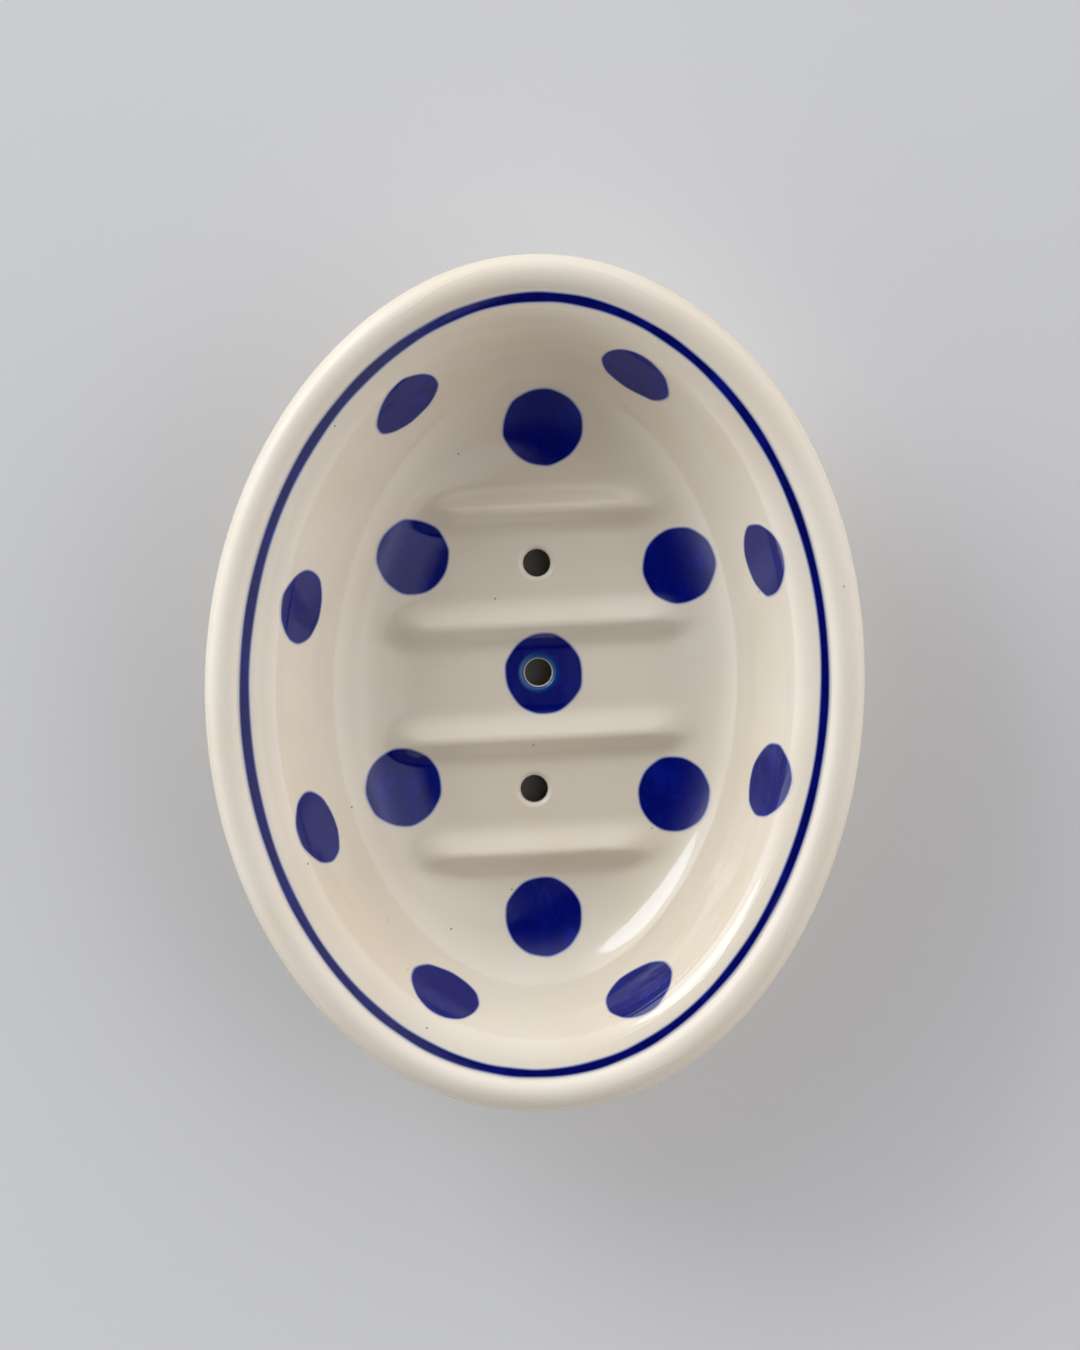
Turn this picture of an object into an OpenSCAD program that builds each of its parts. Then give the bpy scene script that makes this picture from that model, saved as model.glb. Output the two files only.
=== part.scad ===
// Oval soap dish in glazed stoneware, thrown as one piece and fired with its decoration.
// It has a rolled rim, a round shoulder, a sloping wall, four raised ribs that keep the soap
// out of the water, three drain holes and a foot ring. A blue line runs round the shoulder
// beside the rim, and blue dots are printed on the wall and the floor.
// The foot stands on z = 0, the long axis is Y, and lengths are in millimetres.

/* [Oval] */
// Length over the rim
dish_l = 140; // [126:1:160]
// Width over the rim
dish_w = 108; // [100:1:118]
// Height from the table to the top of the rim
dish_h = 31; // [28:0.5:36]

/* [Wall and floor] */
// Thickness of the wall
wall_t = 5; // [4:0.25:6]
// Thickness of the floor
floor_t = 5; // [4:0.25:6]
// How much thicker the rolled rim is than the wall
rim_swell = 1.25; // [0.75:0.25:2.5]
// How far the rolled rim stands above the shoulder
rim_step = 0.9; // [0.5:0.1:1.4]
// Radius of the shoulder, which turns down into the wall
shoulder_r = 9; // [7:0.5:11]
// Distance from the rim's outer edge in to the top of the shoulder
shoulder_in = 4.75; // [4:0.25:5.5]
// Radius of the groove between the rolled rim and the shoulder
groove_r = 1.5; // [1:0.25:2.5]
// Radius of the hollow under the rolled rim
neck_r = 3; // [2:0.5:5]
// Slope of the wall, in degrees from level
wall_slope = 58; // [52:1:64]
// Radius of the curve between the wall and the floor
bowl_r = 19; // [15:0.5:22]

/* [Foot ring] */
// Height of the foot ring under the floor
foot_h = 5; // [4.5:0.25:7]
// Width of the foot ring
foot_w = 4; // [3:0.25:6]
// How far the foot ring stands outside the flat floor
foot_reach = 9; // [7:0.25:12]
// Radius of the worn edges of the foot ring
foot_edge_r = 0.8; // [0.4:0.1:1.2]
// Radius of the hollows where the foot ring joins the dish
foot_fillet_r = 1.5; // [1:0.25:2.5]

/* [Ribs and drain] */
// Distance between the ribs, and between the drain holes
rib_pitch = 19.2; // [17:0.2:21]
// Number of ribs
rib_count = 4; // [2:2:4]
// Width of a rib where it meets the floor
rib_w = 9.5; // [7:0.25:12]
// Height of a rib above the floor
rib_h = 2.2; // [1.5:0.1:3]
// Slant of the ribs, in degrees
rib_slant = 3.5; // [0:0.5:6]
// Shift of the rib and drain pattern along the dish
pattern_shift = 0.8; // [-2:0.1:2]
// Number of drain holes
drain_count = 3; // [1:2:3]
// Diameter of a drain hole
drain_d = 4.6; // [4:0.1:7]
// Softened edge at both ends of a drain hole
drain_edge = 0.6; // [0.3:0.1:0.9]

/* [Blue decoration] */
// Depth of the colour, which is fired flush into the glaze
colour_t = 0.5; // [0.3:0.05:0.8]
// Gap between the groove and the blue line, seen from above
line_gap = 0.15; // [0:0.05:2]
// Width of the blue line, seen from above
line_w = 1.5; // [1:0.1:3]
// Diameter of a dot on the wall
wall_dot_d = 12.2; // [9:0.1:13]
// Diameter of a dot on the floor
floor_dot_d = 12.7; // [9:0.1:14]

/* [Hidden] */
$fn = 144;
glaze_colour = "#dcd3c4";
line_colour = "#2a2c5c";
dot_colour = "#0a1470";

// Overrun of a cut past the face that it opens, and depth to which joined forms are sunk
overrun = 1;
// Largest turn between neighbouring points of a rounded profile, in degrees
arc_step = 9;
// Points of a section are kept to this step, so that neighbouring arcs meet exactly
finest = 0.001;

// The outline is an oval of four arcs, laid out on three-four-five triangles. The centres of
// the side arcs lie 4 units either side of the middle and those of the end arcs 3 units towards
// the ends, so that they are 5 units apart. A side arc runs smoothly into an end arc on the
// line through their two centres.
half_l = dish_l / 2;
half_w = dish_w / 2;
oval_unit = (half_l - half_w) / 2;
end_y = 3 * oval_unit;
side_x = 4 * oval_unit;
end_r = half_w - oval_unit;
side_r = end_r + 5 * oval_unit;
side_half_angle = atan2(end_y, side_x);
// The wedge between two such lines reaches this many times the distance between the centres
wedge_reach = 4;

// The profile is drawn with x as the distance in from the rim's outer edge and y as height.
rim_r = (wall_t + rim_swell) / 2;
rim_c = [rim_r, dish_h - rim_r];
floor_z = foot_h + floor_t;
down_wall = [cos(wall_slope), -sin(wall_slope)];
off_wall = [sin(wall_slope), cos(wall_slope)];
off_wall_angle = 90 - wall_slope;
shoulder_c = [shoulder_in, dish_h - rim_step - shoulder_r];
wall_top = shoulder_c + shoulder_r * off_wall;
wall_run = (wall_top.y + bowl_r * off_wall.y - floor_z - bowl_r) / sin(wall_slope);
wall_foot = wall_top + wall_run * down_wall;
bowl_c = wall_foot + bowl_r * off_wall;
outer_r = bowl_r + wall_t;

// Groove inside the rim, tangent to the roll and to the shoulder. Its centre is a corner of the
// triangle whose other two are the centres of these.
rim_from_shoulder = rim_c - shoulder_c;
rim_distance = norm(rim_from_shoulder);
groove_angle = atan2(rim_from_shoulder.y, rim_from_shoulder.x) - acos(
    (pow(shoulder_r + groove_r, 2) + pow(rim_distance, 2) - pow(rim_r + groove_r, 2))
    / (2 * (shoulder_r + groove_r) * rim_distance));
groove_c = shoulder_c + (shoulder_r + groove_r) * [cos(groove_angle), sin(groove_angle)];
roll_angle = atan2(groove_c.y - rim_c.y, groove_c.x - rim_c.x);
line_in = shoulder_c.x + shoulder_r * cos(groove_angle) + line_gap;
line_out = line_in + line_w;

// Hollow under the rim, tangent to the roll and to the outside of the wall
neck_side = wall_t + neck_r - (wall_top - rim_c) * off_wall;
neck_along = sqrt(pow(rim_r + neck_r, 2) - pow(neck_side, 2));
neck_c = rim_c - neck_side * off_wall + neck_along * down_wall;
neck_angle = atan2(neck_c.y - rim_c.y, neck_c.x - rim_c.x) + 360;

// Foot ring, and the hollow where its outer face meets the belly of the dish
foot_out = bowl_c.x - foot_reach;
foot_in = foot_out + foot_w;
belly_dx = foot_reach + foot_fillet_r;
belly_dy = sqrt(pow(outer_r + foot_fillet_r, 2) - pow(belly_dx, 2));
belly_c = [foot_out - foot_fillet_r, bowl_c.y - belly_dy];
belly_angle = atan2(-belly_dy, -belly_dx);

// The swept wall carries a strip of the flat floor, and the middle of the floor overlaps it.
floor_edge = bowl_c.x + 2 * overrun;
middle_edge = bowl_c.x + overrun;

// Places of the dots. A wall dot has the direction of the oval's normal, in degrees from +X,
// and its share of the wall's width, from the rim's outer edge. A floor dot has shares of the
// half width and of the half length of the dish.
wall_dot_angles = [17, 60.5, 135, 170.5, 200, 242.5, 304, 347.5];
wall_dot_shares = [0.4, 0.44, 0.44, 0.425, 0.42, 0.45, 0.41, 0.4];
floor_dot_shares = [
    [0.01, 0.615], [-0.39, 0.297], [0.44, 0.289],
    [-0.41, -0.26], [0.44, -0.264], [0.035, -0.565]
];
drain_dot_shares = [0.025, 0.02];

// Points along an arc from one angle to another, both included
function arc(centre, r, from, to) =
    let (steps = ceil(abs(to - from) / arc_step))
    [for (i = [0:steps]) let (a = from + (to - from) * i / steps) centre + r * [cos(a), sin(a)]];

// Section of the wall, rim and foot ring, with a strip of the floor
function wall_profile() = concat(
    [[floor_edge, floor_z]],
    arc(bowl_c, bowl_r, -90, off_wall_angle - 180),
    arc(shoulder_c, shoulder_r, off_wall_angle, groove_angle),
    arc(groove_c, groove_r, groove_angle + 180, roll_angle + 180),
    arc(rim_c, rim_r, roll_angle, neck_angle),
    arc(neck_c, neck_r, neck_angle - 180, off_wall_angle),
    arc(bowl_c, outer_r, off_wall_angle - 180, belly_angle),
    arc(belly_c, foot_fillet_r, belly_angle + 180, 0),
    arc([foot_out + foot_edge_r, foot_edge_r], foot_edge_r, 180, 270),
    arc([foot_in - foot_edge_r, foot_edge_r], foot_edge_r, 270, 360),
    arc([foot_in + foot_fillet_r, foot_h - foot_fillet_r], foot_fillet_r, 180, 90),
    [[floor_edge, foot_h]]
);

// Height of the inside of the dish at a distance in from the rim's outer edge
function inside_z(d) =
    d < wall_top.x ? shoulder_c.y + sqrt(pow(shoulder_r, 2) - pow(d - shoulder_c.x, 2))
    : d < wall_foot.x ? wall_top.y - (d - wall_top.x) * tan(wall_slope)
    : d < bowl_c.x ? bowl_c.y - sqrt(pow(bowl_r, 2) - pow(bowl_c.x - d, 2))
    : floor_z;

// Slope of the inside of the dish there, in degrees
function inside_slope(d) =
    d < wall_top.x ? asin((d - shoulder_c.x) / shoulder_r)
    : d < wall_foot.x ? wall_slope
    : asin(max(0, bowl_c.x - d) / bowl_r);

// Half width of the oval that lies a distance inside the rim's outer edge, at a place along Y
function half_width_at(y, d) =
    abs(y) < (side_r - d) * sin(side_half_angle)
    ? sqrt(pow(side_r - d, 2) - pow(y, 2)) - side_x
    : sqrt(pow(end_r - d, 2) - pow(abs(y) - end_y, 2));

function to_finest(v) = finest * round(v / finest);

// Everything that belongs to the side arc on +X
module side_wedge() {
    corner = wedge_reach * [side_x, end_y];
    translate([-side_x, 0, -dish_h])
        linear_extrude(3 * dish_h)
            polygon([[0, 0], [corner.x, -corner.y], corner]);
}

// Half a turn of a section round an upright axis, from +X to -X through +Y. What would pass
// the axis is cut off there.
module half_turn(section, r) {
    rotate_extrude(angle = 180)
        intersection() {
            polygon([for (p = section) [r - to_finest(p.x), to_finest(p.y)]]);
            translate([0, -dish_h])
                square([r, 3 * dish_h]);
        }
}

// Carries a section round the oval. Each side arc is cut to its wedge, and each end arc is
// what the same two wedges leave, so that all four meet face to face.
module sweep_oval(section) {
    for (turn = [0, 180])
        rotate([0, 0, turn]) {
            intersection() {
                translate([-side_x, 0, 0])
                    rotate([0, 0, -90])
                        half_turn(section, side_r);
                side_wedge();
            }
            difference() {
                translate([0, end_y, 0])
                    half_turn(section, end_r);
                side_wedge();
                rotate([0, 0, 180])
                    side_wedge();
            }
        }
}

// Fills the middle of the oval between two heights: the lens between the two side arcs
module fill_middle(low, high) {
    translate([0, 0, low])
        linear_extrude(high - low)
            intersection() {
                translate([-side_x, 0])
                    circle(side_r - middle_edge);
                translate([side_x, 0])
                    circle(side_r - middle_edge);
            }
}

// One rib across the dish: a soft wave in section, whose ends run out into the wall
module rib(y) {
    buried_d = bowl_c.x - sqrt(pow(bowl_r, 2) - pow(bowl_r - rib_h, 2)) - overrun;
    rib_l = 2 * half_width_at(y, buried_d);
    wave_steps = 16;
    wave = [for (i = [0:wave_steps])
        [rib_w * (i / wave_steps - 1 / 2), rib_h * (1 - cos(360 * i / wave_steps)) / 2]];
    translate([0, y, floor_z])
        rotate([90, 0, 90 + rib_slant])
            linear_extrude(rib_l, center = true)
                polygon(concat(wave, [[rib_w / 2, -overrun], [-rib_w / 2, -overrun]]));
}

// The dish before its drain holes are cut
module dish_form() {
    union() {
        sweep_oval(wall_profile());
        fill_middle(foot_h, floor_z);
        for (i = [0:rib_count - 1])
            rib(pattern_shift + rib_pitch * (i - (rib_count - 1) / 2));
    }
}

module drain_hole() {
    translate([0, 0, -overrun])
        cylinder(h = floor_z + 2 * overrun, d = drain_d);
    translate([0, 0, floor_z - drain_edge])
        cylinder(h = 2 * drain_edge, d1 = drain_d, d2 = drain_d + 4 * drain_edge);
    translate([0, 0, foot_h - drain_edge])
        cylinder(h = 2 * drain_edge, d1 = drain_d + 4 * drain_edge, d2 = drain_d);
}

// All the space above the bed of the colour, which runs parallel to the inside of the dish
module above_colour_bed() {
    bed_z = floor_z - colour_t;
    above_z = dish_h + overrun;
    sweep_oval(concat(
        [[floor_edge, bed_z]],
        arc(bowl_c, bowl_r + colour_t, -90, off_wall_angle - 180),
        arc(shoulder_c, shoulder_r - colour_t, off_wall_angle, 90),
        [[shoulder_c.x, above_z], [floor_edge, above_z]]
    ));
    fill_middle(bed_z, above_z);
}

// Colour fills the dish from its bed to its surface, wherever the child stands.
module fired_colour() {
    intersection() {
        children();
        above_colour_bed();
        dish_form();
    }
}

// Upright band that cuts the rim line out of the shoulder
module rim_line_band() {
    band_z = inside_z(line_out) - wall_t / 2;
    sweep_oval([[line_in, band_z], [line_out, band_z], [line_out, dish_h], [line_in, dish_h]]);
}

// Columns through the dots on the wall, each square to the wall
module wall_dot_columns() {
    for (i = [0:len(wall_dot_angles) - 1]) {
        angle = wall_dot_angles[i];
        d = wall_dot_shares[i] * bowl_c.x;
        on_side = abs(cos(angle)) > cos(side_half_angle);
        centre = on_side ? [-side_x * sign(cos(angle)), 0] : [0, end_y * sign(sin(angle))];
        out = (on_side ? side_r : end_r) - d;
        translate([centre.x + out * cos(angle), centre.y + out * sin(angle), inside_z(d)])
            rotate([0, 0, angle])
                rotate([0, -inside_slope(d), 0])
                    cylinder(h = wall_t, d = wall_dot_d, center = true);
    }
}

// Upright column through a dot on the floor
module floor_dot_column(share) {
    translate([share.x * half_w, share.y * half_l, foot_h])
        cylinder(h = floor_t + bowl_r, d = floor_dot_d);
}

module floor_dot_columns() {
    for (share = floor_dot_shares)
        floor_dot_column(share);
}

// The middle drain hole runs through a dot, which stops at the edge of the hole.
module drain_dot_column() {
    difference() {
        floor_dot_column(drain_dot_shares);
        translate([0, pattern_shift, 0])
            cylinder(h = dish_h, d = drain_d + 2 * drain_edge);
    }
}

module dish_body() {
    color(glaze_colour)
        difference() {
            dish_form();
            intersection() {
                union() {
                    rim_line_band();
                    wall_dot_columns();
                    floor_dot_columns();
                    drain_dot_column();
                }
                above_colour_bed();
            }
            for (i = [0:drain_count - 1])
                translate([0, pattern_shift + rib_pitch * (i - (drain_count - 1) / 2), 0])
                    drain_hole();
        }
}

module rim_line() {
    color(line_colour)
        fired_colour()
            rim_line_band();
}

module wall_dots() {
    color(dot_colour)
        fired_colour()
            wall_dot_columns();
}

module floor_dots() {
    color(dot_colour)
        fired_colour()
            floor_dot_columns();
}

module drain_dot() {
    color(dot_colour)
        fired_colour()
            drain_dot_column();
}

dish_body();
rim_line();
wall_dots();
floor_dots();
drain_dot();
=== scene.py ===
"""Looks of an oval stoneware soap dish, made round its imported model.

The dish stands on z = 0 with its long axis along Y. Shapes are worked out in millimetres, and
become metres where a mesh is made.
"""
import math

import bpy
import numpy as np
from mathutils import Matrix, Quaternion, Vector


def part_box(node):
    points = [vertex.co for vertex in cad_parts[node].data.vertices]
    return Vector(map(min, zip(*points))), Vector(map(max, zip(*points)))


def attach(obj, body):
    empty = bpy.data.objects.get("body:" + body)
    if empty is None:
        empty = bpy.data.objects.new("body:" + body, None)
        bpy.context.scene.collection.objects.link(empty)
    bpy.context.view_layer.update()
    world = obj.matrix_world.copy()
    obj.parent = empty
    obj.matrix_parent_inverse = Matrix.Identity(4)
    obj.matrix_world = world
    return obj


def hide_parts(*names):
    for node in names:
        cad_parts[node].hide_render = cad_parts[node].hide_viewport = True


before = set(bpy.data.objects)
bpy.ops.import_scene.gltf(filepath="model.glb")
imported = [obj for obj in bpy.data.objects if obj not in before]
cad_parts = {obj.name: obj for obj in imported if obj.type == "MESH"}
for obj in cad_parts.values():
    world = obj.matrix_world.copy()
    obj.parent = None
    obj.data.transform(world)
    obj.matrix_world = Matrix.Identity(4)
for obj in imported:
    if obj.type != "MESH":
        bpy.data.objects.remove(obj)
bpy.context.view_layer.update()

# The dish: one piece of stoneware with a rolled rim, a round shoulder inside it, four soft ribs,
# three drain holes and a foot ring, dipped whole in a cream glaze, which is wiped off the face
# that it stands on.
METRE = 0.001

lowest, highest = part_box("dish_body")
half_w = (highest.x - lowest.x) / 2 / METRE
half_l = (highest.y - lowest.y) / 2 / METRE
rim_z = highest.z / METRE

wall_t = 5.0
floor_z = 10.0
foot_z = 5.0
rim_r = 3.125
rim_step = 1.25
shoulder_r = 9.0
shoulder_in = 4.97
groove_r = 1.5
neck_r = 3.0
bowl_r = 19.0
wall_slope = 58.0
foot_w = 4.0
foot_reach = 9.0
foot_edge_r = 0.8
foot_fillet_r = 1.5
floor_strip = 2.0

off_wall = np.array([math.sin(math.radians(wall_slope)), math.cos(math.radians(wall_slope))])
down_wall = np.array([off_wall[1], -off_wall[0]])
rim_centre = np.array([rim_r, rim_z - rim_r])
shoulder_centre = np.array([shoulder_in, rim_z - rim_step - shoulder_r])
wall_top = shoulder_centre + shoulder_r * off_wall
wall_run = (wall_top[1] + bowl_r * off_wall[1] - floor_z - bowl_r) / off_wall[0]
wall_foot = wall_top + wall_run * down_wall
bowl_centre = wall_foot + bowl_r * off_wall
belly_r = bowl_r + wall_t
neck_side = wall_t + neck_r - (wall_top - rim_centre) @ off_wall
neck_along = math.sqrt((rim_r + neck_r) ** 2 - neck_side ** 2)
neck_centre = rim_centre - neck_side * off_wall + neck_along * down_wall
foot_out = bowl_centre[0] - foot_reach
foot_in = foot_out + foot_w
belly_dx = foot_reach + foot_fillet_r
belly_dy = math.sqrt((belly_r + foot_fillet_r) ** 2 - belly_dx ** 2)
hollow_centre = np.array([foot_out - foot_fillet_r, bowl_centre[1] - belly_dy])
floor_edge = bowl_centre[0] + floor_strip


def angle_to(start, end):
    """Direction from one point of the profile to another, in degrees."""
    return math.degrees(math.atan2(end[1] - start[1], end[0] - start[0]))


# The groove beside the rim touches the rim's roll and the shoulder. Its centre makes a triangle
# with theirs, and its angle there is the one between sides a and b: (a2 + b2 - c2) / 2ab.
rim_away = math.dist(shoulder_centre, rim_centre)
groove_away = shoulder_r + groove_r
groove_angle = angle_to(shoulder_centre, rim_centre) - math.degrees(math.acos(
    (groove_away ** 2 + rim_away ** 2 - (rim_r + groove_r) ** 2) / (2 * groove_away * rim_away)))
groove_turn = math.radians(groove_angle)
groove_centre = shoulder_centre + groove_away * np.array([math.cos(groove_turn), math.sin(groove_turn)])


def arc(centre, radius, start, end, step):
    """Points of a profile along an arc: centre + radius (cos a, sin a), a from start to end in
    degrees, about a step of so many millimetres apart."""
    count = max(3, round(abs(math.radians(end - start)) * radius / step) + 1)
    angle = np.radians(np.linspace(start, end, count))
    return np.asarray(centre) + radius * np.column_stack([np.cos(angle), np.sin(angle)])


def straight(start, end, step):
    """Points of a profile from start to end, evenly spaced about a step apart."""
    start, end = np.asarray(start, float), np.asarray(end, float)
    count = max(2, round(np.linalg.norm(end - start) / step) + 1)
    return start + np.linspace(0, 1, count)[:, None] * (end - start)


def joined(*runs):
    """One profile from runs that meet end to end, with each shared point kept once."""
    return np.concatenate([runs[0]] + [run[1:] for run in runs[1:]])


# The profile has the distance in from the rim's outer edge and the height. It runs from the
# floor up the inside, over the rim, down the outside and round the foot to the underside.
wall_angle = 90 - wall_slope
roll_angle = angle_to(rim_centre, groove_centre)
neck_angle = angle_to(rim_centre, neck_centre) + 360
belly_angle = math.degrees(math.atan2(-belly_dy, -belly_dx))
outer_top = neck_centre + neck_r * off_wall
outer_foot = bowl_centre - belly_r * off_wall
inside = joined(
    straight((floor_edge, floor_z), (bowl_centre[0], floor_z), 0.7),
    arc(bowl_centre, bowl_r, -90, wall_angle - 180, 0.55),
    straight(wall_foot, wall_top, 0.8),
    arc(shoulder_centre, shoulder_r, wall_angle, groove_angle, 0.45),
)

# The floor runs into the bowl with no line where the curve starts: near there, each height is
# the mean of those up to ease_w to either side. That holds up to ease_reach from the start of
# the curve, and has faded out twice as far from it.
ease_w = 2.4
ease_reach = 5.0
outward = -inside[:, 0]
shifts = np.linspace(-ease_w, ease_w, 13)
eased = np.mean([np.interp(outward + shift, outward, inside[:, 1]) for shift in shifts], axis=0)
near_start = np.clip(2 - np.abs(outward + bowl_centre[0]) / ease_reach, 0, 1)
near_start *= np.clip((floor_edge + outward) / floor_strip, 0, 1)
inside[:, 1] += near_start * (eased - inside[:, 1])

outside = joined(
    arc(groove_centre, groove_r, groove_angle + 180, roll_angle + 180, 0.2),
    arc(rim_centre, rim_r, roll_angle, neck_angle, 0.33),
    arc(neck_centre, neck_r, neck_angle - 180, wall_angle, 0.5),
    straight(outer_top, outer_foot, 1.4),
    arc(bowl_centre, belly_r, wall_angle - 180, belly_angle, 1.2),
    arc(hollow_centre, foot_fillet_r, belly_angle + 180, 0, 0.35),
    straight((foot_out, hollow_centre[1]), (foot_out, foot_edge_r), 0.9),
    arc((foot_out + foot_edge_r, foot_edge_r), foot_edge_r, 180, 270, 0.22),
    straight((foot_out + foot_edge_r, 0), (foot_in - foot_edge_r, 0), 0.8),
    arc((foot_in - foot_edge_r, foot_edge_r), foot_edge_r, 270, 360, 0.22),
    straight((foot_in, foot_edge_r), (foot_in, foot_z - foot_fillet_r), 0.9),
    arc((foot_in + foot_fillet_r, foot_z - foot_fillet_r), foot_fillet_r, 180, 90, 0.35),
    straight((foot_in + foot_fillet_r, foot_z), (floor_edge, foot_z), 0.9),
)
profile = joined(inside, outside)


def oval_point(normal, inset):
    """Point of the oval that lies so far inside the outline, where the outline's normal has
    that direction: the ellipse's point (b2 cos n, a2 sin n) / h, moved in along the normal,
    with h the ellipse's reach along it, the root of (b cos n)2 + (a sin n)2."""
    reach = np.hypot(half_w * np.cos(normal), half_l * np.sin(normal))
    return (half_w ** 2 / reach - inset) * np.cos(normal), (half_l ** 2 / reach - inset) * np.sin(normal)


# What the hand left uneven round the dish, as waves: how many of each go round, their height in
# millimetres, and their shift in radians. A sine is a cosine with a shift of minus a quarter.
SINE = -math.pi / 2
sway_waves = ((3, 0.2, 2.67), (4, 0.11, -1.85), (5, 0.09, -2.06), (2, -0.1, 0))
lift_waves = ((2, 0.12, 0.7), (3, 0.08, -1.2))
lip_waves = ((1, 0.12, 0), (1, 0.27, SINE), (2, -0.11, 0), (2, -0.069, SINE),
             (3, -0.047, 0), (3, -0.085, SINE), (4, -0.082, 0), (4, 0.06, SINE))
sway_foot_z = 12.0
lip_start, lip_start_w = 3.0, 2.5
lip_end, lip_end_w = 12.0, 4.0
lip_drop, lip_drop_w = 6.0, 3.0


def uneven(normal, waves):
    """The sum of waves round the dish at a normal of its oval."""
    return sum(height * np.cos(count * normal + shift) for count, height, shift in waves)


def hand_sway(normal, z):
    """How far the wall leans out of the true oval, in millimetres: a few waves round the rim
    that fade out down the wall, as in a form that was lifted wet off its mould."""
    share = np.clip((z - sway_foot_z) / (rim_z - sway_foot_z), 0, 1)
    return uneven(normal, sway_waves) * share * share * (3 - 2 * share)


def hand_lift(normal, z):
    """How far the rim rises and falls round the dish, fading out down the wall."""
    share = np.clip((z - sway_foot_z) / (rim_z - sway_foot_z), 0, 1)
    return uneven(normal, lift_waves) * share * share


def lip_sway(normal, inset, z):
    """How much further in than drawn the groove beside the rim lies, fading out over the rim
    and down the wall: it was turned by hand, and the lip is widest at one end of the dish."""
    near = np.clip((inset - lip_start) / lip_start_w, 0, 1) * np.clip((lip_end - inset) / lip_end_w, 0, 1)
    return uneven(normal, lip_waves) * near * np.clip((z - rim_z + lip_drop) / lip_drop_w, 0, 1)


def wall_place(normal, inset, z):
    """Place in space of a point of the profile, carried round the oval to that normal."""
    x, y = oval_point(normal, inset + lip_sway(normal, inset, z) - hand_sway(normal, z))
    return np.stack([x, y, z + hand_lift(normal, z)], axis=-1)


# Each rib: where its crest crosses the long axis, and half its length. The ribs slant, bend very
# slightly towards one end of the dish and have a long flank on one side and a short one on the
# other. Their ends are rounded and run out on the rise of the bowl.
rib_rows = ((28.7, 24.1), (9.57, 28.6), (-9.35, 28.6), (-28.49, 24.1))
rib_rise = 2.5
rib_slant = math.radians(3.6)
rib_bend = 0.0002
rib_long_flank = 5.7
rib_short_flank = 4.3
rib_taper = 10.0
rib_overrun = 1.0
rib_peak = 0.75
rib_shift = 0.6
rib_run_out = 0.02
drain_r = 2.3
drain_lip = 0.9
drain_places = ((-0.04, 19.9), (0.5, 1.6), (0.14, -17.9))


def rib_height(x, y):
    """Height of the ribs over the floor: h (1 + cos(pi w)) / 2, where w is a power of v, the
    distance from the rib's middle line as a share of the flank, or round its ends from them."""
    height = np.zeros_like(x)
    for crest, half_length in rib_rows:
        across = (y - crest - math.tan(rib_slant) * x - rib_bend * x * x) * math.cos(rib_slant)
        flank = np.where(across > 0, rib_long_flank, rib_short_flank)
        past_end = np.maximum(np.abs(x - rib_shift) - half_length + rib_taper, 0)
        past_end = past_end / (rib_taper + rib_overrun)
        share = np.minimum(np.hypot(across / flank, past_end), 1) ** rib_peak
        height = height + rib_rise * (1 + np.cos(np.pi * share)) / 2
    return height


def bowl_height(x, y, bowl_z):
    """Height of the inside with its ribs, given the height of the plain bowl there. A rib
    keeps its height above the floor until the bowl has risen as far. The share of it that is
    left runs out softly: l becomes (l + root(l2 + s)) / (1 + root(1 + s))."""
    left = 1 - (bowl_z - floor_z) / rib_rise
    left = (left + np.sqrt(left * left + rib_run_out)) / (1 + math.sqrt(1 + rib_run_out))
    return bowl_z + rib_height(x, y) * left


directions = 1440


def inset_of(x, y):
    """Distance of points in from the outline: the least, over all directions, of the ellipse's
    reach less the point's own reach in that direction. Gives the outline's normal there too."""
    normal = np.linspace(0, 2 * np.pi, directions, endpoint=False)
    reach = np.hypot(half_w * np.cos(normal), half_l * np.sin(normal))
    gap = reach - np.multiply.outer(x, np.cos(normal)) - np.multiply.outer(y, np.sin(normal))
    return gap.min(axis=-1), normal[gap.argmin(axis=-1)]


def floor_height(x, y):
    """Height of the inside anywhere on the floor and the bowl, with the ribs, and the drain
    holes' rounded edges, where the glaze sinks in a quarter circle."""
    inset = inset_of(x, y)[0]
    z = bowl_height(x, y, np.interp(-inset, -inside[:, 0], inside[:, 1]))
    for hole_x, hole_y in drain_places:
        over = np.clip(drain_r + drain_lip - np.hypot(x - hole_x, y - hole_y), 0, drain_lip)
        z = z - drain_lip + np.sqrt(drain_lip ** 2 - over ** 2)
    return z


def disc_grid(across, along):
    """Points of a unit disc on a square grid: x = s root(1 - t2/2), y = t root(1 - s2/2), with
    s and t spaced so that the points on the rim are evenly turned."""
    quarter = math.pi / 4
    s = math.sqrt(2) * np.sin(np.linspace(-quarter, quarter, across + 1))[:, None]
    t = math.sqrt(2) * np.sin(np.linspace(-quarter, quarter, along + 1))[None, :]
    return s * np.sqrt(1 - t * t / 2), t * np.sqrt(1 - s * s / 2)


def border(grid):
    """The outermost entries of a grid in order, anticlockwise from its last row's start."""
    return np.concatenate([grid[-1, :-1], grid[:0:-1, -1], grid[0, :0:-1], grid[:-1, 0]])


def quads(ids):
    """Faces between the neighbours of a grid of point numbers."""
    corners = (ids[:-1, :-1], ids[1:, :-1], ids[1:, 1:], ids[:-1, 1:])
    return np.stack([c.ravel() for c in corners], axis=-1)


def round_quads(ids):
    """The same for rows that run full circle, with the last column next to the first."""
    return quads(np.concatenate([ids, ids[:, :1]], axis=1))


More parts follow.
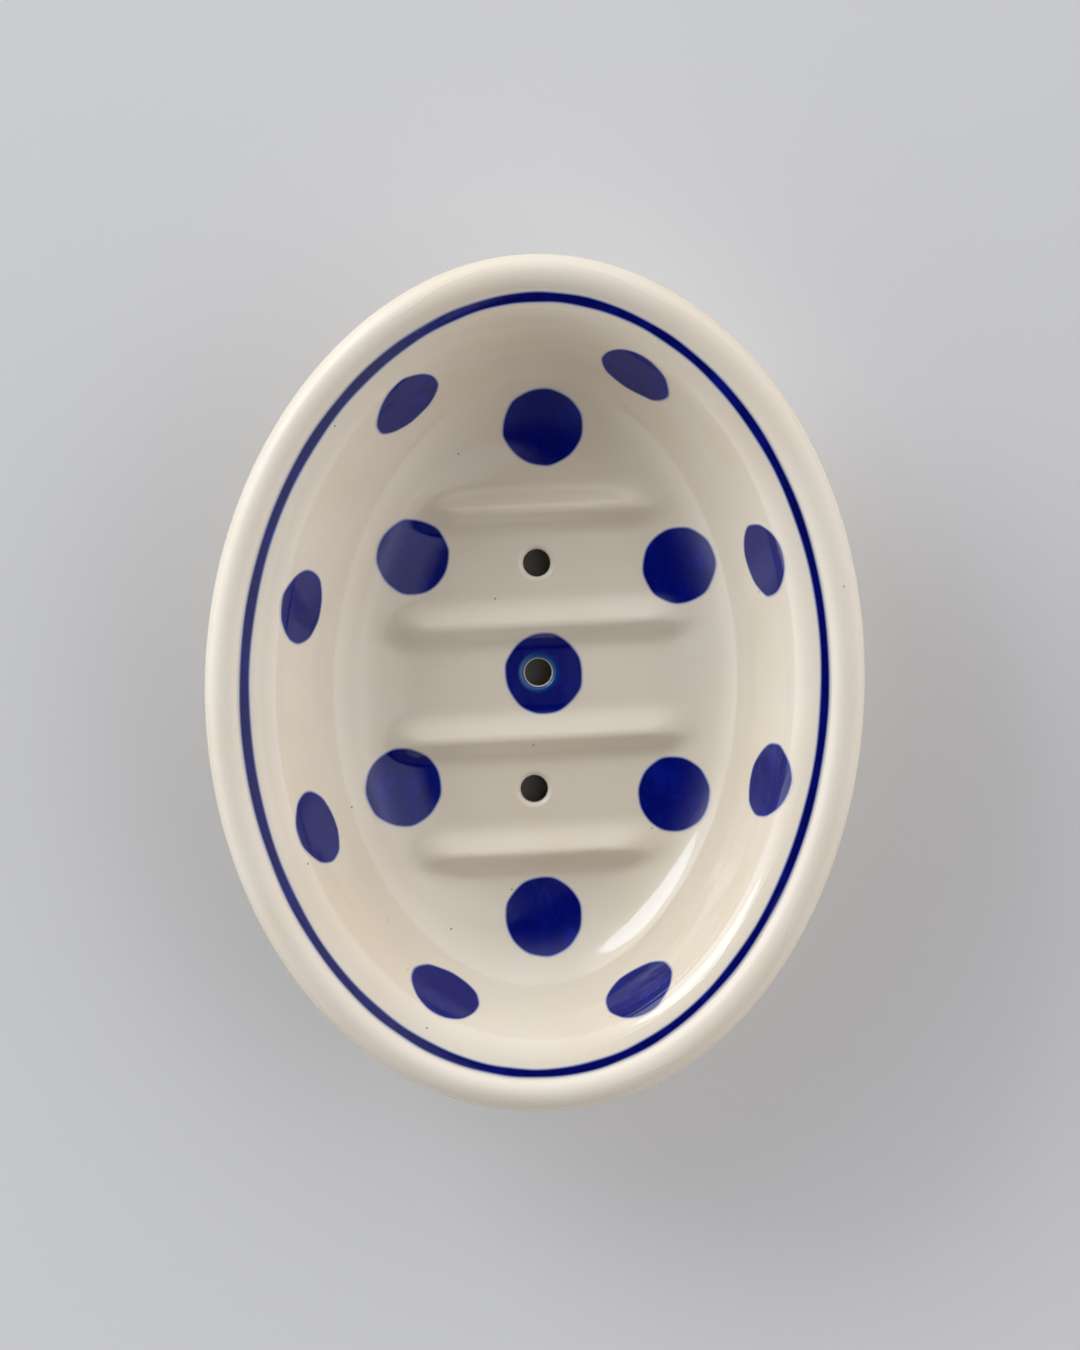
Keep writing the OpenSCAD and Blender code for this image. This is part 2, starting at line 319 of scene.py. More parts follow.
def capped(ring, top, under):
    """A closed skin: rings of points, a square grid inside the first ring, and another, facing
    away, inside the last. The grids' borders are the rings themselves. Returns the points, the
    faces of the rings and of both grids, and the grids' point numbers."""
    ring_ids = np.arange(ring[..., 0].size).reshape(ring.shape[:2])
    top_ids = ring_ids.size + np.arange(top[..., 0].size).reshape(top.shape[:2])
    under_ids = top_ids + top_ids.size
    rows, columns = np.indices(top_ids.shape)
    top_ids[border(rows), border(columns)] = ring_ids[0]
    under_ids[border(rows), border(columns)] = ring_ids[-1]
    points = np.concatenate([part.reshape(-1, part.shape[-1]) for part in (ring, top, under)])
    return points, [round_quads(ring_ids), quads(top_ids), quads(under_ids)[:, ::-1]], top_ids, under_ids


def new_piece(name, points, faces, marks):
    """A mesh object at the origin from points in millimetres and four-sided faces, smooth all
    over. Each point's numbers after its place go under the names in marks, and edges between
    points marked as a crease stay sharp. Points that no face uses are dropped."""
    used, renumbered = np.unique(faces, return_inverse=True)
    points = points[used]
    mesh = bpy.data.meshes.new(name)
    mesh.from_pydata((points[:, :3] * METRE).tolist(), [], renumbered.reshape(faces.shape).tolist())
    mesh.shade_smooth()
    for value, numbers in zip(marks, points[:, 3:].T):
        mesh.attributes.new(value, "FLOAT", "POINT").data.foreach_set("value", numbers.copy())
        if value == "crease":
            ends = np.empty(2 * len(mesh.edges), int)
            mesh.edges.foreach_get("vertices", ends)
            sharp = (numbers[ends.reshape(-1, 2)] > 0.5).all(axis=1)
            mesh.attributes.new("sharp_edge", "BOOLEAN", "EDGE").data.foreach_set("value", sharp)
    piece = bpy.data.objects.new(name, mesh)
    bpy.context.scene.collection.objects.link(piece)
    return piece


def with_marks(places, *marks):
    """Points with more numbers after their place, each an array over the points or one value."""
    shape = places.shape[:-1] + (1,)
    marks = [np.broadcast_to(np.asarray(m, float)[..., None], shape) for m in marks]
    return np.concatenate([places, *marks], axis=-1)


# Where the glaze runs thin: on the rim, down to rim_thin below its crest, and beside it, up to
# groove_band from the groove, fading out over the last groove_fade of that. It ends groove_drop
# below the crest, because the outside of the dish passes under the same place.
rim_thin = 2.5
groove_in = 5.4
groove_band = 1.19
groove_fade = 0.7
groove_drop = 3.0

# How many cells the floor's grid has, how many rings go down a drain hole's rounded edge, and how
# far the grid stays off it.
grid_across, grid_along = 80, 120
lip_rings = 7
lip_margin = 0.5


def make_dish():
    """The whole body as one closed skin. Rings round the oval follow the profile, square grids
    close the floor and the underside, and round each drain hole a block of both grids gives
    way to a tube of rings that runs from one to the other. Each point also has how thin the
    glaze runs there, from 0 to 1, and its distance along the profile from the floor's edge."""
    disc_x, disc_y = disc_grid(grid_across, grid_along)
    turn, share = np.arctan2(disc_y, disc_x), np.hypot(disc_x, disc_y)
    normal = np.arctan2(half_w * np.sin(turn), half_l * np.cos(turn))
    ring = wall_place(border(normal), profile[:, :1], profile[:, 1:])
    count = len(inside)
    ring[:count, :, 2] = bowl_height(ring[:count, :, 0], ring[:count, :, 1], ring[:count, :, 2])
    run = np.r_[0, np.cumsum(np.linalg.norm(np.diff(profile, axis=0), axis=1))]
    over_rim = 1 - (rim_z - profile[:, 1]) / rim_thin
    over_rim[:count] = 0
    round_foot = (profile[:, 1] < foot_edge_r) & (profile[:, 1] > 0)
    beside_rim = np.clip((groove_band - np.abs(profile[:, 0] - groove_in)) / groove_fade, 0, 1)
    beside_rim *= profile[:, 1] > rim_z - groove_drop
    thin = np.maximum(np.clip(over_rim, 0, 1), beside_rim) + round_foot
    ring = with_marks(ring, thin[:, None], run[:, None])

    plain_w, plain_l = half_w - floor_edge, half_l - floor_edge
    edge_x, edge_y = oval_point(normal, floor_edge)
    x = plain_w * disc_x + share ** 2 * (edge_x - plain_w * np.cos(turn))
    y = plain_l * disc_y + share ** 2 * (edge_y - plain_l * np.sin(turn))
    flat = np.full_like(x, floor_z)
    top = with_marks(np.stack([x, y, bowl_height(x, y, flat)], axis=-1), 0, plain_w * (share - 1))
    under = with_marks(np.stack([x, y, flat - floor_z + foot_z], axis=-1), 0, -plain_w)
    points, (around, inner, outer), top_ids, under_ids = capped(ring, top, under)

    kept = np.ones((x.shape[0] - 1, x.shape[1] - 1), bool)
    points, faces = [points], [around]
    lip = np.linspace(0, math.pi / 2, lip_rings)
    closing = np.linspace(0, 1, lip_rings)[1:-1]
    for hole_x, hole_y in drain_places:
        rows, columns = np.nonzero(np.hypot(x - hole_x, y - hole_y) < drain_r + drain_lip + lip_margin)
        start_i, end_i = rows.min() - 1, rows.max() + 1
        start_j, end_j = columns.min() - 1, columns.max() + 1
        block = (slice(start_i, end_i + 1), slice(start_j, end_j + 1))
        kept[start_i:end_i, start_j:end_j] = False
        loop_x, loop_y = border(x[block]) - hole_x, border(y[block]) - hole_y
        loop_r = np.hypot(loop_x, loop_y)
        flat_r = loop_r + closing[:, None] * (drain_r + drain_lip - loop_r)
        lip_r = (drain_r + drain_lip * (1 - np.sin(lip)))[:, None] + 0 * loop_r
        tube_r = np.concatenate([flat_r, lip_r, lip_r[::-1], flat_r[::-1]])
        sunk = np.r_[0 * closing, drain_lip * (1 - np.cos(lip))][:, None]
        tube_x, tube_y = hole_x + tube_r * loop_x / loop_r, hole_y + tube_r * loop_y / loop_r
        half = len(sunk)
        upper = bowl_height(tube_x[:half], tube_y[:half], np.full_like(tube_x[:half], floor_z)) - sunk
        lower = np.full_like(upper, foot_z) + sunk[::-1]
        tube = np.stack([tube_x, tube_y, np.concatenate([upper, lower])], axis=-1)
        thin_lip = np.clip(np.r_[sunk, sunk[::-1]] * 2 / drain_lip, 0, 1)
        ids = sum(map(len, points)) + np.arange(tube_x.size).reshape(tube_x.shape)
        points.append(with_marks(tube, thin_lip, -plain_w).reshape(-1, 5))
        ids = np.concatenate([border(top_ids[block])[None], ids, border(under_ids[block])[None]])
        faces.append(round_quads(ids)[:, ::-1])
    faces += [inner[kept.ravel()], outer[kept.ravel()]]
    return new_piece("dish", np.concatenate(points), np.concatenate(faces), ["thin", "run"])


def paint(red, green, blue):
    """A colour as the eye names it, from 0 to 255 a channel, as the linear one that a shader
    takes: ((c + 0.055) / 1.055) to the power 2.4."""
    return tuple(((c / 255 + 0.055) / 1.055) ** 2.4 for c in (red, green, blue)) + (1.0,)


def link(tree, node, **inputs):
    """Sets inputs of a node, each to another node's output or to a plain value. An underscore
    in a name stands for a space, and n1 is the input of that number."""
    for name, value in inputs.items():
        numbered = name[0] == "n" and name[1:].isdigit()
        socket = node.inputs[int(name[1:]) if numbered else name.replace("_", " ")]
        if isinstance(value, bpy.types.NodeSocket):
            tree.links.new(value, socket)
        else:
            socket.default_value = value
    return node


def add(tree, kind, settings=None, **inputs):
    """A new node of that kind, with its settings and inputs."""
    node = tree.nodes.new("ShaderNode" + kind)
    for name, value in (settings or {}).items():
        setattr(node, name, value)
    return link(tree, node, **inputs)


def worked_out(tree, operation, *values):
    """The result of one sum on sockets or numbers."""
    node = add(tree, "Math", {"operation": operation})
    return link(tree, node, **{f"n{i}": value for i, value in enumerate(values)}).outputs[0]


def mixed(tree, share, first, second):
    """A colour between two, by a share from 0 to 1."""
    node = add(tree, "Mix", {"data_type": "RGBA"})
    return link(tree, node, n0=share, n6=first, n7=second).outputs[2]


def between(tree, value, low, high):
    """0 below low, 1 above high, and smooth between."""
    node = add(tree, "MapRange", {"interpolation_type": "SMOOTHSTEP"}, Value=value)
    return link(tree, node, From_Min=low, From_Max=high).outputs[0]


def noise(tree, place, scale, detail=2.0, roughness=0.5):
    """Cloudy noise from 0 to 1, with so many features a metre."""
    node = add(tree, "TexNoise", Vector=place, Scale=scale, Detail=detail, Roughness=roughness)
    return node.outputs["Fac"]


def mark(tree, name):
    """What the points of a piece are marked with under a name."""
    return add(tree, "Attribute", {"attribute_name": name}).outputs["Fac"]


cream, warm_cream, cool_cream = paint(228, 217, 196), paint(219, 203, 176), paint(222, 214, 200)
thin_cream = paint(236, 227, 210)
pinhole_brown = paint(120, 104, 84)
bare_clay = paint(196, 174, 146)
bare_ragged, bare_blur = 0.6, 0.1
bled_blue = paint(112, 140, 198)
thin_blue = paint(14, 84, 138)
glaze_depth = 0.12
glaze_ior = 1.5
ridge_gap = 3.6


def make_glaze_group():
    """The cream glaze as colour, roughness and height. Slow clouds mix a warm and a cool cream,
    fine grain lets the clay show, and a few cells of a cell pattern have a pinhole each. The
    run mark, in millimetres up the wall, gives the fine ridges that turning left on the wall,
    here and there: a narrow rise wherever sin(pi run / gap + wobble) crosses nought."""
    group = bpy.data.node_groups.new("stoneware_glaze", "ShaderNodeTree")
    for name, kind in (("Color", "Color"), ("Roughness", "Float"), ("Height", "Float")):
        group.interface.new_socket(name, in_out="OUTPUT", socket_type="NodeSocket" + kind)
    place = add(group, "TexCoord").outputs["Object"]
    clouds = between(group, noise(group, place, 28.0), 0.35, 0.65)
    patches = between(group, noise(group, place, 70.0, 3.0), 0.4, 0.75)
    grain = between(group, noise(group, place, 1500.0), 0.3, 0.8)
    colour = mixed(group, worked_out(group, "MULTIPLY", clouds, 0.6), cream, warm_cream)
    colour = mixed(group, worked_out(group, "MULTIPLY", patches, 0.35), colour, cool_cream)
    colour = mixed(group, worked_out(group, "MULTIPLY", grain, 0.12), colour, warm_cream)
    cells = add(group, "TexVoronoi", Vector=place, Scale=300.0)
    draw = add(group, "SeparateColor", Color=cells.outputs["Color"]).outputs[0]
    ring = worked_out(group, "SUBTRACT", 1.0, between(group, cells.outputs["Distance"], 0.03, 0.075))
    pinhole = worked_out(group, "MULTIPLY", worked_out(group, "GREATER_THAN", draw, 0.86), ring)
    colour = mixed(group, worked_out(group, "MULTIPLY", pinhole, 0.75), colour, pinhole_brown)
    wobble = worked_out(group, "MULTIPLY", noise(group, place, 35.0, 1.0), 9.0)
    phase = worked_out(group, "MULTIPLY_ADD", mark(group, "run"), math.pi / ridge_gap, wobble)
    off_ridge = worked_out(group, "ABSOLUTE", worked_out(group, "SINE", phase))
    ridge = worked_out(group, "SUBTRACT", 1.0, between(group, off_ridge, 0.0, 0.14))
    here = between(group, noise(group, place, 24.0, 1.0), 0.5, 0.64)
    on_slope = between(group, mark(group, "run"), 14.0, 22.0)
    ridge = worked_out(group, "MULTIPLY", worked_out(group, "MULTIPLY", ridge, here), on_slope)
    fine = worked_out(group, "MULTIPLY", noise(group, place, 420.0, 1.0), 0.12)
    height = worked_out(group, "MULTIPLY_ADD", noise(group, place, 60.0, 1.0), 1.0, fine)
    height = worked_out(group, "MULTIPLY_ADD", ridge, 0.17, height)
    height = worked_out(group, "MULTIPLY_ADD", pinhole, -0.6, height)
    roughness = worked_out(group, "MULTIPLY_ADD", patches, 0.05, 0.06)
    link(group, group.nodes.new("NodeGroupOutput"), Color=colour, Roughness=roughness, Height=height)
    return group


glaze_group = make_glaze_group()


def new_finish(name):
    """A material, its nodes, its shader with the glaze's bumps, and the glaze's outputs."""
    material = bpy.data.materials.new(name)
    material.use_nodes = True
    tree = material.node_tree
    glaze = add(tree, "Group", {"node_tree": glaze_group}).outputs
    bump = add(tree, "Bump", Height=glaze["Height"], Strength=1.0, Distance=glaze_depth * METRE)
    shader = link(tree, tree.nodes["Principled BSDF"], Normal=bump.outputs[0], IOR=glaze_ior)
    return material, tree, shader, glaze


def make_cream_glaze():
    """Cream glaze, a little paler and duller where it runs thin over an edge, and bare clay on
    the face that the dish stands on."""
    material, tree, shader, glaze = new_finish("cream_glaze")
    thin = mark(tree, "thin")
    colour = mixed(tree, worked_out(tree, "MULTIPLY", thin, 0.35), glaze["Color"], thin_cream)
    place = add(tree, "TexCoord").outputs["Object"]
    up = add(tree, "SeparateXYZ", Vector=place).outputs["Z"]
    ragged = worked_out(tree, "MULTIPLY_ADD", noise(tree, place, 300.0), -bare_ragged * METRE, up)
    glazed = between(tree, ragged, -bare_blur * METRE, bare_blur * METRE)
    bare = worked_out(tree, "SUBTRACT", 1.0, glazed)
    colour = mixed(tree, bare, colour, bare_clay)
    roughness = worked_out(tree, "MULTIPLY_ADD", thin, 0.36, glaze["Roughness"])
    roughness = worked_out(tree, "MULTIPLY_ADD", bare, 0.5, roughness)
    link(tree, shader, Base_Color=colour, Roughness=roughness)
    return material


dish = make_dish()
dish.data.materials.append(make_cream_glaze())
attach(dish, "root")
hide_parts("dish_body")

# The blue line on the shoulder, beside the rim: cobalt, run round with a loaded brush while the
# dish turned, on the raw glaze, which it sinks into when it is fired. Its edges have bled a
# little, and it lies half a millimetre nearer to the rim at one end of the dish.
stand_proud = 0.045
sink_in = 0.25
bleed = 0.62
bled_shares = np.array([0.25, 0.5, 0.75, 1.0])
bled_tints = np.array([0.8, 0.5, 0.2, 0.0])
line_inset = 6.75
line_w = 0.86
line_waves = ((5, 0.04, 0),)
line_w_waves = ((1, 0.07, -2.4), (7, 0.04, 2), (19, 0.03, 0), (31, 0.02, 1))
line_steps = 480
line_rows = 9
face_in, face_z = profile[:profile[:, 1].argmax() + 1].T
face_run = np.r_[0, np.cumsum(np.hypot(np.diff(face_in), np.diff(face_z)))]
face_slope = np.arctan2(np.gradient(face_z), -np.gradient(face_in))


def on_wall(normal, run, lift):
    """Place on the inside of the dish: a distance along the profile from the floor's edge, at a
    normal of the oval, and so far off the surface, square to it. The run goes with it."""
    slope = np.interp(run, face_run, face_slope)
    inset = np.interp(run, face_run, face_in) + lift * np.sin(slope)
    z = np.interp(run, face_run, face_z) + lift * np.cos(slope)
    return with_marks(wall_place(normal, inset, z), run + 0 * normal)


def make_blue(name, deep, bright):
    """Cobalt in the glaze: deep blue, brighter where the brush left it thin, and finely grained.
    The tint mark fades it to pale blue and then to the cream of the dish, and the thin mark
    turns it to the sea blue of a thin coat."""
    material, tree, shader, glaze = new_finish(name)
    tint = mark(tree, "tint")
    place = add(tree, "TexCoord").outputs["Object"]
    brushed = add(tree, "Mapping", Vector=place, Scale=(1.0, 0.45, 1.0)).outputs[0]
    strokes = between(tree, noise(tree, brushed, 420.0, 4.0, 0.6), 0.4, 0.75)
    clouds = between(tree, noise(tree, place, 130.0), 0.3, 0.7)
    grain = between(tree, noise(tree, place, 1300.0, 2.0, 0.7), 0.45, 0.8)
    share = worked_out(tree, "MULTIPLY_ADD", strokes, clouds, worked_out(tree, "MULTIPLY", grain, 0.45))
    blue = mixed(tree, share, deep, bright)
    blue = mixed(tree, worked_out(tree, "MULTIPLY", mark(tree, "thin"), 0.7), blue, thin_blue)
    bled = mixed(tree, 0.65, glaze["Color"], bled_blue)
    colour = mixed(tree, between(tree, tint, 0.0, 0.35), glaze["Color"], bled)
    colour = mixed(tree, between(tree, tint, 0.2, 0.9), colour, blue)
    link(tree, shader, Base_Color=colour, Roughness=glaze["Roughness"])
    return material


def make_rim_line():
    """A band round the wall, as rings on the surface and the same rings, in reverse, below it.
    Its middle and its half width waver by a tenth of a millimetre or so round the dish."""
    normal = np.linspace(0, 2 * np.pi, line_steps, endpoint=False)
    middle = np.interp(-line_inset, -face_in, face_run) + uneven(normal, line_waves)
    half = line_w / 2 + uneven(normal, line_w_waves)
    bled = bleed * bled_shares[:, None]
    solid = np.linspace(-1, 1, line_rows)[:, None] * half
    across = np.concatenate([-half - bled[::-1], solid, half + bled])
    tint = np.r_[bled_tints[::-1], np.ones(line_rows), bled_tints]
    crease = tint == 0
    upper = with_marks(on_wall(normal, middle + across, stand_proud), tint[:, None], 0, crease[:, None])
    lower = with_marks(on_wall(normal, middle + across, -sink_in), tint[:, None], 0, 0)
    rings = np.concatenate([upper, lower[::-1]])
    ids = np.arange(rings[..., 0].size).reshape(rings.shape[:2])
    skin = round_quads(np.concatenate([ids, ids[:1]]))
    return new_piece("blue_line", rings.reshape(-1, 7), skin, ["run", "tint", "thin", "crease"])


rim_line = make_rim_line()
rim_line.data.materials.append(make_blue("cobalt_line", paint(4, 8, 84), paint(10, 20, 116)))
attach(rim_line, "root")
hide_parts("rim_line")

# The dots on the wall: eight prints of one stamp, a soft block cut round with a knife, so that
# its edge is a run of short flats. It is pressed on by hand, and never twice quite alike. Each
# print has its place seen from above, and half its width and height along the wall.
flat_count = 12
flat_share = 0.55
flat_shift = 0.35
flat_depths = (0.985, 1.02)
least_facing = 0.25
corner_power = 30
print_cells = 24
soft_edge = 0.45 * bleed
hand = np.random.default_rng(11)
dot_blue = make_blue("cobalt_dots", paint(2, 11, 98), paint(6, 26, 132))
wall_dots_at = (
    (15.4, 51.37, 6.2, 4.87), (-21.85, 46.24, 6.3, 5.38),
    (37.2, 21.03, 6.02, 5.0), (-38.65, 12.05, 6.12, 5.5),
    (38.78, -15.38, 6.05, 5.42), (-35.5, -24.5, 6.07, 5.38),
    (17.51, -50.22, 6.08, 5.46), (-14.04, -51.48, 6.1, 5.85),
)


def print_reach(turn):
    """How far a print's edge lies from its middle at each turn, as a share of its size: half
    way between a circle and a run of flats. Each flat lies at d / cos(turn away from it), and
    a high power mean takes the nearest."""
    even = np.arange(flat_count) + hand.uniform(-flat_shift, flat_shift, flat_count)
    facing = np.cos(turn[..., None] - even * 2 * np.pi / flat_count)
    reach = hand.uniform(*flat_depths, flat_count) / np.maximum(facing, least_facing)
    reach = (reach ** -float(corner_power)).sum(axis=-1) ** (-1 / corner_power)
    return 1 + flat_share * (reach / reach.mean() - 1)


def make_print(place, width, height):
    """One print as a closed skin, with its half width and height out to the middle of its soft
    edge. place(u, v, lift) is where a point of the print lies on the dish, and its run, with u
    and v in millimetres from its middle."""
    disc_x, disc_y = disc_grid(print_cells, print_cells)
    reach = print_reach(np.arctan2(disc_y, disc_x))
    u, v = disc_x * reach * (width - soft_edge), disc_y * reach * (height - soft_edge)
    spread = 1 + bleed / np.hypot(border(u), border(v)) * np.r_[0, bled_shares, 1][:, None]
    lift = np.r_[np.full(len(bled_shares) + 1, stand_proud), -sink_in][:, None]
    tint = np.r_[1, bled_tints, 0][:, None]
    crease = np.r_[np.zeros(len(bled_shares)), 1, 0][:, None]
    ring = with_marks(place(border(u) * spread, border(v) * spread, lift), tint, 0, crease)
    wide = 1 + bleed / width
    return capped(ring, with_marks(place(u, v, stand_proud), 1, 0, 0),
                  with_marks(place(u * wide, v * wide, -sink_in), 0, 0, 0))[:2]


def new_dots(name, prints, node):
    """One object of several prints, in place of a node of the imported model."""
    points, faces, first = [], [], 0
    for skin_points, skin_faces in prints:
        points.append(skin_points)
        faces += [part + first for part in skin_faces]
        first += len(skin_points)
    points, marks = np.concatenate(points), ["run", "tint", "thin", "crease"]
    dots = new_piece(name, points, np.concatenate(faces), marks)
    dots.data.materials.append(dot_blue)
    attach(dots, "root")
    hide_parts(node)


def wall_print(x, y, width, height):
    """A print on the wall, round the place that is seen from above at x, y. Its u runs round
    the dish, as a turn of the normal over the oval's radius there, a2 b2 / h3 less the inset,
    and its v runs down the wall."""
    inset, normal = inset_of(np.array(x), np.array(y))
    middle = np.interp(-inset, -face_in, face_run)
    reach = math.hypot(half_w * math.cos(normal), half_l * math.sin(normal))
    curve = (half_w * half_l) ** 2 / reach ** 3

    def place(u, v, lift):
        run = middle - v
        return on_wall(normal + u / (curve - np.interp(run, face_run, face_in)), run, lift)
    return make_print(place, width, height)


new_dots("wall_prints", [wall_print(*at) for at in wall_dots_at], "wall_dots")

# The dots on the floor: six prints of the same stamp in the troughs between the ribs and up
# the rise of the bowl.
floor_prints_at = (
    (0.61, 42.52, 6.58, 6.26), (-20.74, 20.48, 5.93, 6.21), (23.67, 19.84, 5.96, 6.3),
    (-21.72, -17.93, 6.21, 6.48), (23.44, -18.36, 5.83, 6.21), (2.01, -39.18, 6.3, 6.55),
)


def floor_print(x, y, width, height):
    """A print on the floor, round the place at x, y, pressed straight down."""
    def place(u, v, lift):
        return with_marks(np.stack([x + u, y + v, floor_height(x + u, y + v) + lift], axis=-1), 0)
    return make_print(place, width, height)


new_dots("floor_prints", [floor_print(*at) for at in floor_prints_at], "floor_dots")

# The dot that the middle drain hole runs through. The colour follows the hole's rounded edge
# down, where it is thin and turns sea blue.
drain_dot_at = (1.45, 1.41)
drain_dot_size = (6.35, 6.73)
thin_blue_w = 0.7
drain_steps = 96
drain_rings = 22
ring_crowding = 1.4
start_tints = (0.3, 0.7)


def make_drain_print():
    """Rings from the hole's edge out to the print's edge, which grow from a circle round the
    hole to the print's own outline round its middle, and the same rings below in reverse."""
    hole_x, hole_y = drain_places[1]
    turn = np.linspace(0, 2 * np.pi, drain_steps, endpoint=False)
    inner_r = drain_r + 0.12 * drain_lip
    reach = print_reach(turn)
    edge_x = drain_dot_at[0] + (drain_dot_size[0] - soft_edge) * reach * np.cos(turn)
    edge_y = drain_dot_at[1] + (drain_dot_size[1] - soft_edge) * reach * np.sin(turn)
    start_x, start_y = hole_x + inner_r * np.cos(turn), hole_y + inner_r * np.sin(turn)
    share = (np.linspace(0, 1, drain_rings) ** ring_crowding)[:, None]
    spread = bleed * bled_shares[:, None]
    x = np.concatenate([start_x + share * (edge_x - start_x), edge_x + spread * np.cos(turn)])
    y = np.concatenate([start_y + share * (edge_y - start_y), edge_y + spread * np.sin(turn)])
    tint = np.r_[start_tints, np.ones(drain_rings - len(start_tints)), bled_tints][:, None]
    off_edge = np.hypot(x - hole_x, y - hole_y) - drain_r - 0.6 * drain_lip
    thin = np.clip(1 - off_edge / thin_blue_w, 0, 1)
    crease = np.zeros_like(tint)
    crease[[0, -1]] = 1
    z = floor_height(x, y)
    upper = with_marks(np.stack([x, y, z + stand_proud], axis=-1), 0, tint, thin, crease)
    lower = with_marks(np.stack([x, y, z - sink_in], axis=-1), 0, tint, thin, 0)
    rings = np.concatenate([upper, lower[::-1]])
    ids = np.arange(rings[..., 0].size).reshape(rings.shape[:2])
    return rings.reshape(-1, 7), [round_quads(np.concatenate([ids, ids[:1]]))]


new_dots("drain_print", [make_drain_print()], "drain_dot")

# The camera looks down from about three quarters of a metre at a point of the dish's floor. It
# stands two centimetres off that point and is turned by under a degree, as in the photograph.
camera_height = 750.0
view_x, view_y = 0.79, 1.16
off_x, off_y = -8.8, 16.9
view_turn = 0.0154
view_length = 219.4
sensor = 36.0
camera = bpy.data.objects.new("camera", bpy.data.cameras.new("camera"))
camera.data.sensor_width = sensor
camera.data.lens = sensor * camera_height / view_length
camera_rise = camera_height + rim_z - floor_z
camera.location = ((view_x + off_x) * METRE, (view_y + off_y) * METRE, (floor_z + camera_rise) * METRE)
aim = Vector((0, 0, -1)).rotation_difference(Vector((-off_x, -off_y, -camera_rise)))
camera.rotation_euler = (aim @ Quaternion((0, 0, 1), view_turn)).to_euler()
bpy.context.scene.collection.objects.link(camera)
bpy.context.scene.camera = camera

# A plain pale floor under the dish, a hair lower than the face that it stands on, so that the two
# faces don't lie in one plane.
floor_reach = 6.0
floor_drop = 0.02 * METRE
floor_mesh = bpy.data.meshes.new("floor")
corners = [(-1, -1), (1, -1), (1, 1), (-1, 1)]
floor_mesh.from_pydata([(floor_reach * x, floor_reach * y, -floor_drop) for x, y in corners],
                       [], [(0, 1, 2, 3)])
floor = bpy.data.objects.new("floor", floor_mesh)
bpy.context.scene.collection.objects.link(floor)
floor_paint = bpy.data.materials.new("pale_floor")
floor_paint.use_nodes = True
link(floor_paint.node_tree, floor_paint.node_tree.nodes["Principled BSDF"],
     Base_Color=paint(216, 215, 212), Roughness=0.7)
floor_mesh.materials.append(floor_paint)

# Light: a window low on the far left, which leaves the crisp streaks on the glaze, and the plain
# soft light of a room. It is bright low down, on the left most of all, has a soft glow round the
# window and another high on the right, and is dark overhead.
window_at, window_up = 141, 26
window_away = 1.5
window_size = (0.92, 0.5)
window_power = 5.8
window_tint = (0.84, 1.0, 1.16)

# How bright the room is on each side, and the heights, from 0 level to 1 overhead, over which it
# darkens. Each glow has where it is, how far out it ends and is full, in degrees, and its light.
right_light, back_light, even_light = 1.45, 1.3, 0.13
light_ends = (0.7, 0.96)
low_left_light, low_right_light = 2.25, 0.35
low_light_ends = (0.17, 0.87)
high_glow_at, high_glow = (0, 62.5, 29, 19), 0.8
window_glow_at, window_glow = (window_at, 16, 30, 10), 1.6
overhead_light = 0.01
backdrop_light = 0.7
room_tint = (1.0, 1.0, 1.07, 1.0)


def way_to(azimuth, elevation):
    """A step of one metre from the dish towards those two angles, in degrees, as x, y and z."""
    turn, rise = math.radians(azimuth), math.radians(elevation)
    return math.cos(turn) * math.cos(rise), math.sin(turn) * math.cos(rise), math.sin(rise)


lamp = bpy.data.lights.new("window", "AREA")
lamp.shape = "ELLIPSE"
lamp.size, lamp.size_y = window_size
lamp.energy, lamp.color = window_power, window_tint
window = bpy.data.objects.new("window", lamp)
window.location = [window_away * step for step in way_to(window_at, window_up)]
window.rotation_euler = (math.radians(90 - window_up), 0, math.radians(90 + window_at))
bpy.context.scene.collection.objects.link(window)

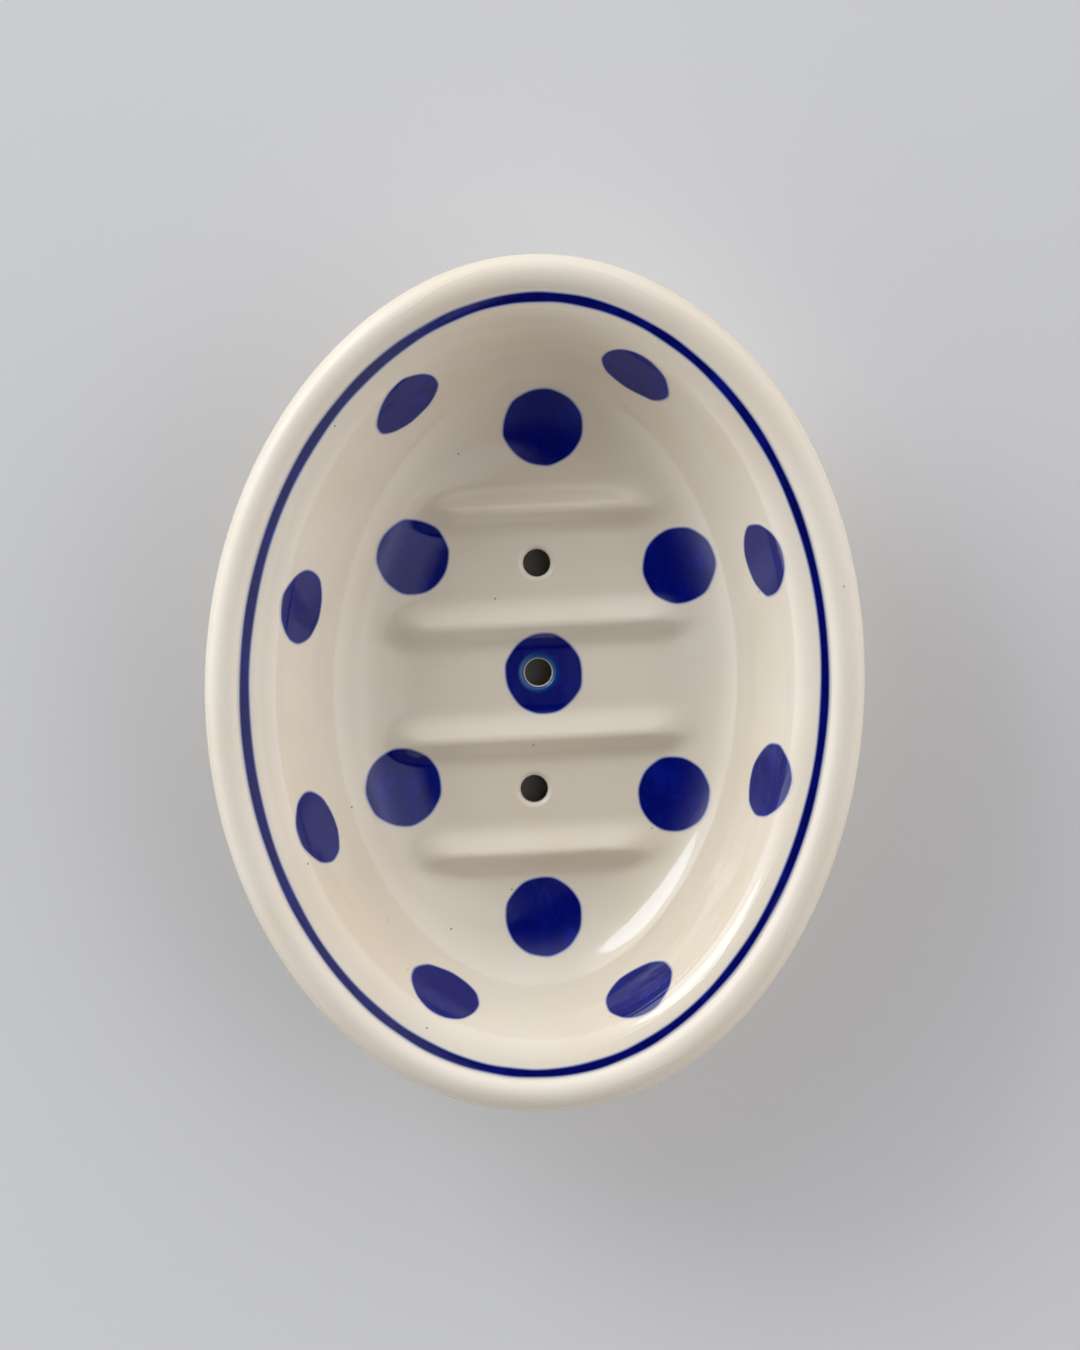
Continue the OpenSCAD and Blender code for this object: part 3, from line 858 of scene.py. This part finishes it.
world = bpy.data.worlds.new("room")
bpy.context.scene.world = world
world.use_nodes = True
room = world.node_tree
toward = add(room, "SeparateXYZ", Vector=add(room, "TexCoord").outputs["Generated"]).outputs


def on_side(axis, sign):
    """How far the room's points lie to one side of the dish: the square of their direction's
    part along the axis, or nought where that has the other sign."""
    along = worked_out(room, "MAXIMUM", worked_out(room, "MULTIPLY", toward[axis], sign), 0.0)
    return worked_out(room, "POWER", along, 2.0)


def glow(azimuth, elevation, outer, inner):
    """A soft round patch of the room about that direction: 1 within the inner angle of it, and
    nought beyond the outer one, all in degrees."""
    x, y, z = way_to(azimuth, elevation)
    near = worked_out(room, "MULTIPLY", toward["X"], x)
    near = worked_out(room, "MULTIPLY_ADD", toward["Y"], y, near)
    near = worked_out(room, "MULTIPLY_ADD", toward["Z"], z, near)
    return between(room, near, math.cos(math.radians(outer)), math.cos(math.radians(inner)))


right = on_side("X", 1.0)
level = worked_out(room, "MULTIPLY_ADD", on_side("Y", 1.0), back_light, even_light)
level = worked_out(room, "MULTIPLY_ADD", right, right_light, level)
below_dark = worked_out(room, "SUBTRACT", 1.0, between(room, toward["Z"], *light_ends))
level = worked_out(room, "MULTIPLY", level, below_dark)
low_light = worked_out(room, "MULTIPLY", right, low_right_light)
low_light = worked_out(room, "MULTIPLY_ADD", on_side("X", -1.0), low_left_light, low_light)
low_down = worked_out(room, "SUBTRACT", 1.0, between(room, toward["Z"], *low_light_ends))
level = worked_out(room, "MULTIPLY_ADD", low_light, low_down, level)
level = worked_out(room, "MULTIPLY_ADD", glow(*high_glow_at), high_glow, level)
level = worked_out(room, "MULTIPLY_ADD", glow(*window_glow_at), window_glow, level)
level = worked_out(room, "ADD", level, overhead_light)
seen = add(room, "LightPath").outputs["Is Camera Ray"]
level = worked_out(room, "MULTIPLY_ADD", worked_out(room, "SUBTRACT", backdrop_light, level), seen, level)
link(room, room.nodes["Background"], Color=room_tint, Strength=level)
bpy.context.scene.view_settings.view_transform = "Standard"
